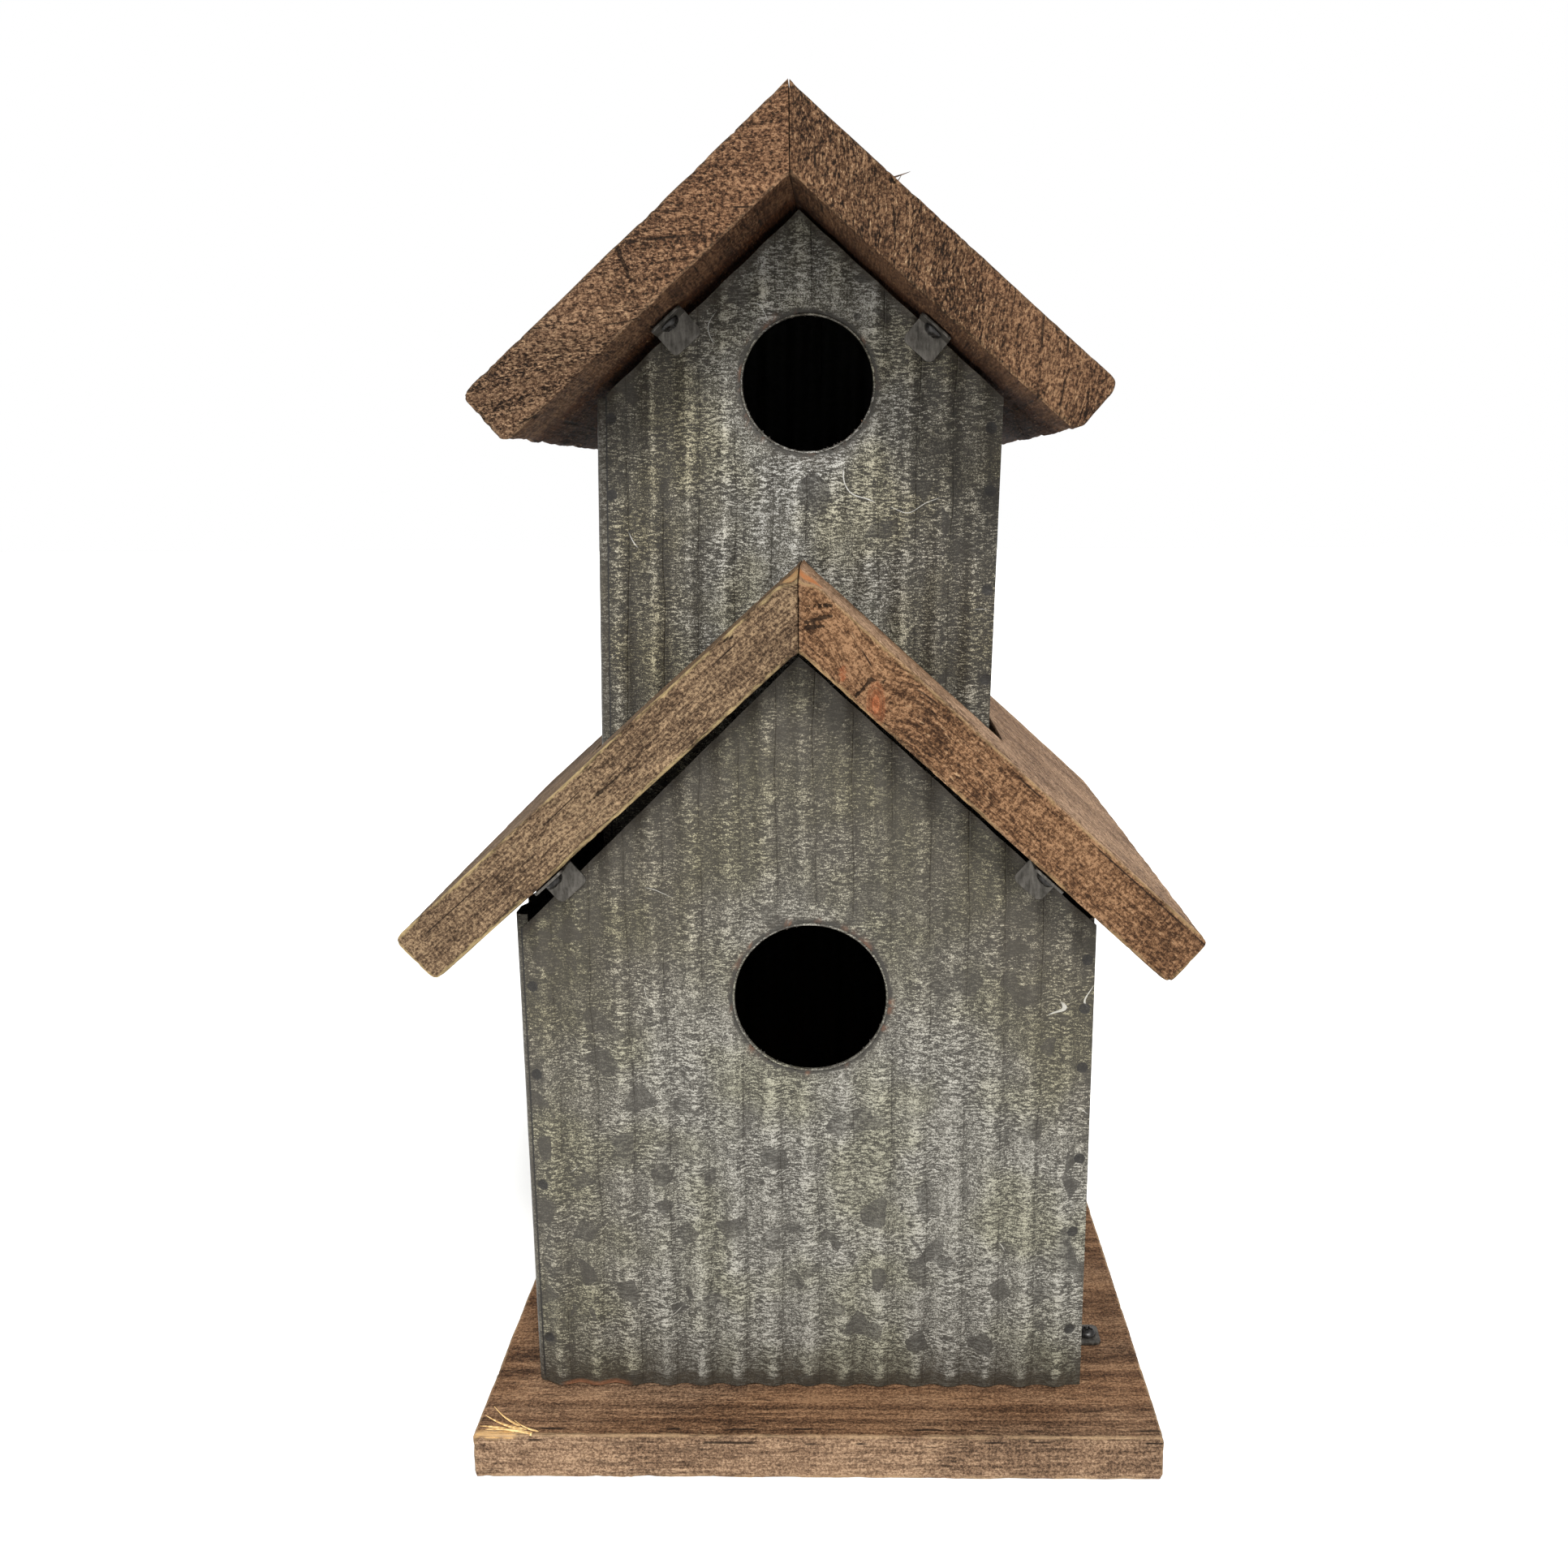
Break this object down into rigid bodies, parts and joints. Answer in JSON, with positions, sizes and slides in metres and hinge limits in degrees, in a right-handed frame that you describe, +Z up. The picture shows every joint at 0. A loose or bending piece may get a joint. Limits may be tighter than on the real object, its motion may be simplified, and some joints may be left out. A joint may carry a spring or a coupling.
{
  "type": "birdhouse",
  "caption": "Rustic birdhouse with a corrugated sheet-metal box and a narrower tower above it, round entrance holes, rough-sawn gable roofs and a wooden base.",
  "frame": {"origin": "centre of the base board's underside, on the surface that the birdhouse stands on", "axes": "+Z up, the front with the entrance holes faces -Y, +X to the right as seen from the front"},
  "size_m": [0.249, 0.2405, 0.421],
  "materials": {
    "base_wood": "rough-sawn, weathered brown",
    "roof_wood": "rough-sawn, weathered brown",
    "floor_wood": "plain sawn",
    "galvanised_sheet": "aged galvanised, dull with spangle",
    "clip_steel": "dull zinc",
    "screw_steel": "blackened"
  },
  "bodies": {
    "root": {"base_board": "base_wood", "lower_front_panel": "galvanised_sheet", "lower_back_panel": "galvanised_sheet", "lower_left_side_panel": "galvanised_sheet", "lower_right_side_panel": "galvanised_sheet", "tower_front_panel": "galvanised_sheet", "tower_back_panel": "galvanised_sheet", "tower_left_side_panel": "galvanised_sheet", "tower_right_side_panel": "galvanised_sheet", "tower_floor_board": "floor_wood", "lower_roof_left_board": "roof_wood", "lower_roof_right_board": "roof_wood", "upper_roof_left_board": "roof_wood", "upper_roof_right_board": "roof_wood", "lower_roof_clip_front_left": "clip_steel", "lower_roof_clip_front_right": "clip_steel", "lower_roof_clip_back_left": "clip_steel", "lower_roof_clip_back_right": "clip_steel", "upper_roof_clip_front_left": "clip_steel", "upper_roof_clip_front_right": "clip_steel", "upper_roof_clip_back_left": "clip_steel", "upper_roof_clip_back_right": "clip_steel", "tower_clip_left": "clip_steel", "tower_clip_right": "clip_steel", "base_clip_left": "clip_steel", "base_clip_right": "clip_steel", "lower_roof_clip_screw_front_left": "screw_steel", "lower_roof_clip_screw_front_right": "screw_steel", "lower_roof_clip_screw_back_left": "screw_steel", "lower_roof_clip_screw_back_right": "screw_steel", "upper_roof_clip_screw_front_left": "screw_steel", "upper_roof_clip_screw_front_right": "screw_steel", "upper_roof_clip_screw_back_left": "screw_steel", "upper_roof_clip_screw_back_right": "screw_steel", "tower_clip_screw_left": "screw_steel", "tower_clip_screw_right": "screw_steel", "base_clip_screw_left": "screw_steel", "base_clip_screw_right": "screw_steel"}
  },
  "joints": []
}
